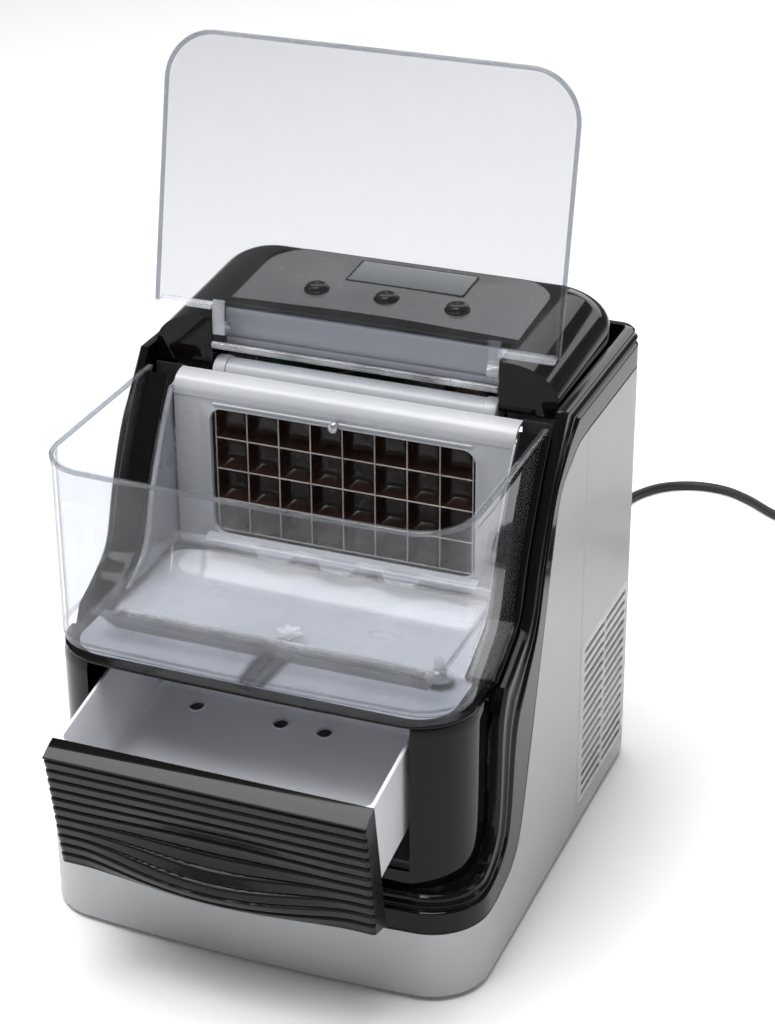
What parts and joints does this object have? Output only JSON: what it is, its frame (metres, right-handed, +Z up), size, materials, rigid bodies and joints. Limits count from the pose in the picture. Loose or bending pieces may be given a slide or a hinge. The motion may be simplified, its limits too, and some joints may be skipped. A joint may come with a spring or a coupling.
{
  "type": "ice maker",
  "caption": "Countertop ice maker: clear bin and flip-up lid over an evaporator grid, sloping control panel, pull-out drawer, vented casing.",
  "frame": {"origin": "on the ground, at the middle of the box round the machine as it stands with its drawer out, leaving out the mains cord and its strain relief", "axes": "+Z up, front faces -Y, +X is the right-hand side seen from the front"},
  "size_m": [0.451, 0.7965, 0.5263],
  "materials": {
    "silver_paint": "satin",
    "gloss_black": "high gloss",
    "satin_dark": "satin",
    "clear_plastic": "clear",
    "white_plastic": "satin",
    "grey_plastic": "satin",
    "steel": "brushed",
    "copper": "bare copper",
    "aluminium": "bare",
    "rubber": "matte",
    "circuit_board": "solder mask",
    "display": "glossy",
    "galvanised": "galvanised"
  },
  "bodies": {
    "housing": {"outer_casing": "silver_paint", "side_vent": "silver_paint", "rear_panel": "grey_plastic", "base_plate": "galvanised", "foot_front_left": "rubber", "foot_front_right": "rubber", "foot_rear_left": "rubber", "foot_rear_right": "rubber", "trim_frame": "gloss_black", "front_panel": "satin_dark", "deck": "gloss_black", "ice_bin": "clear_plastic", "side_rail_left": "gloss_black", "side_rail_right": "gloss_black", "chute_side_left": "clear_plastic", "chute_side_right": "clear_plastic", "drawer_guide_left": "grey_plastic", "drawer_guide_right": "grey_plastic", "evaporator_grid": "steel", "evaporator_plate": "copper", "evaporator_coil": "copper", "evaporator_surround": "white_plastic", "drip_ledge": "white_plastic", "water_distributor": "white_plastic", "ice_probe": "steel", "top_cover": "gloss_black", "face_plate": "grey_plastic", "control_panel": "satin_dark", "display_glass": "display", "display_module": "circuit_board", "lid_pin_left": "steel", "lid_pin_right": "steel", "water_tank": "white_plastic", "water_pump": "satin_dark", "water_hose": "rubber", "compressor": "gloss_black", "condenser": "aluminium", "fan_shroud": "satin_dark", "fan_motor": "steel", "discharge_line": "copper", "filter_drier": "copper", "liquid_line": "copper", "suction_line": "copper", "control_board": "circuit_board", "drain_spout": "white_plastic", "strain_relief": "rubber", "cord_run": "rubber", "cord_coil": "rubber", "mains_plug": "rubber"},
    "lid": {"lid": "clear_plastic"},
    "drawer_carriage": {"drawer_slider_left": "white_plastic", "drawer_slider_right": "white_plastic"},
    "drawer": {"drawer_front": "satin_dark", "drawer_tub": "white_plastic"},
    "button_left_body": {"button_left": "gloss_black"},
    "button_middle_body": {"button_middle": "gloss_black"},
    "button_right_body": {"button_right": "gloss_black"},
    "basket": {"ice_basket": "clear_plastic"},
    "fan": {"fan_rotor": "satin_dark"},
    "drain_stopper": {"drain_plug": "rubber"}
  },
  "joints": [
    {"name": "lid_hinge", "type": "hinge", "parent": "housing", "child": "lid", "pos_m": [0, 0.04852, 0.34], "axis": [1, 0, 0], "range_deg": [0, 105]},
    {"name": "drawer_slide", "type": "slide", "parent": "housing", "child": "drawer_carriage", "axis": [0, 1, 0], "range_m": [0, 0.0455]},
    {"name": "drawer_tilt", "type": "hinge", "parent": "drawer_carriage", "child": "drawer", "pos_m": [0, -0.04798, 0.1323], "axis": [1, 0, 0], "range_deg": [-10.5, 0]},
    {"name": "basket_lift", "type": "slide", "parent": "housing", "child": "basket", "axis": [0, 0, 1], "range_m": [0, 0.1]},
    {"name": "fan_spin", "type": "hinge", "parent": "housing", "child": "fan", "pos_m": [0, 0.12352, 0.0795], "axis": [1, 0, 0], "continuous": true},
    {"name": "drain_plug_pull", "type": "slide", "parent": "housing", "child": "drain_stopper", "axis": [0, 1, 0], "range_m": [0, 0.02]},
    {"name": "button_left_press", "type": "slide", "parent": "housing", "child": "button_left_body", "axis": [0, 0, -1], "range_m": [0, 0.0015], "stiffness_N_per_m": 300},
    {"name": "button_middle_press", "type": "slide", "parent": "housing", "child": "button_middle_body", "axis": [0, 0, -1], "range_m": [0, 0.0015], "stiffness_N_per_m": 300},
    {"name": "button_right_press", "type": "slide", "parent": "housing", "child": "button_right_body", "axis": [0, 0, -1], "range_m": [0, 0.0015], "stiffness_N_per_m": 300}
  ],
  "couplings": [
    {"joint": "drawer_tilt", "follows": "drawer_slide", "rad_per_m": -3.9893}
  ]
}
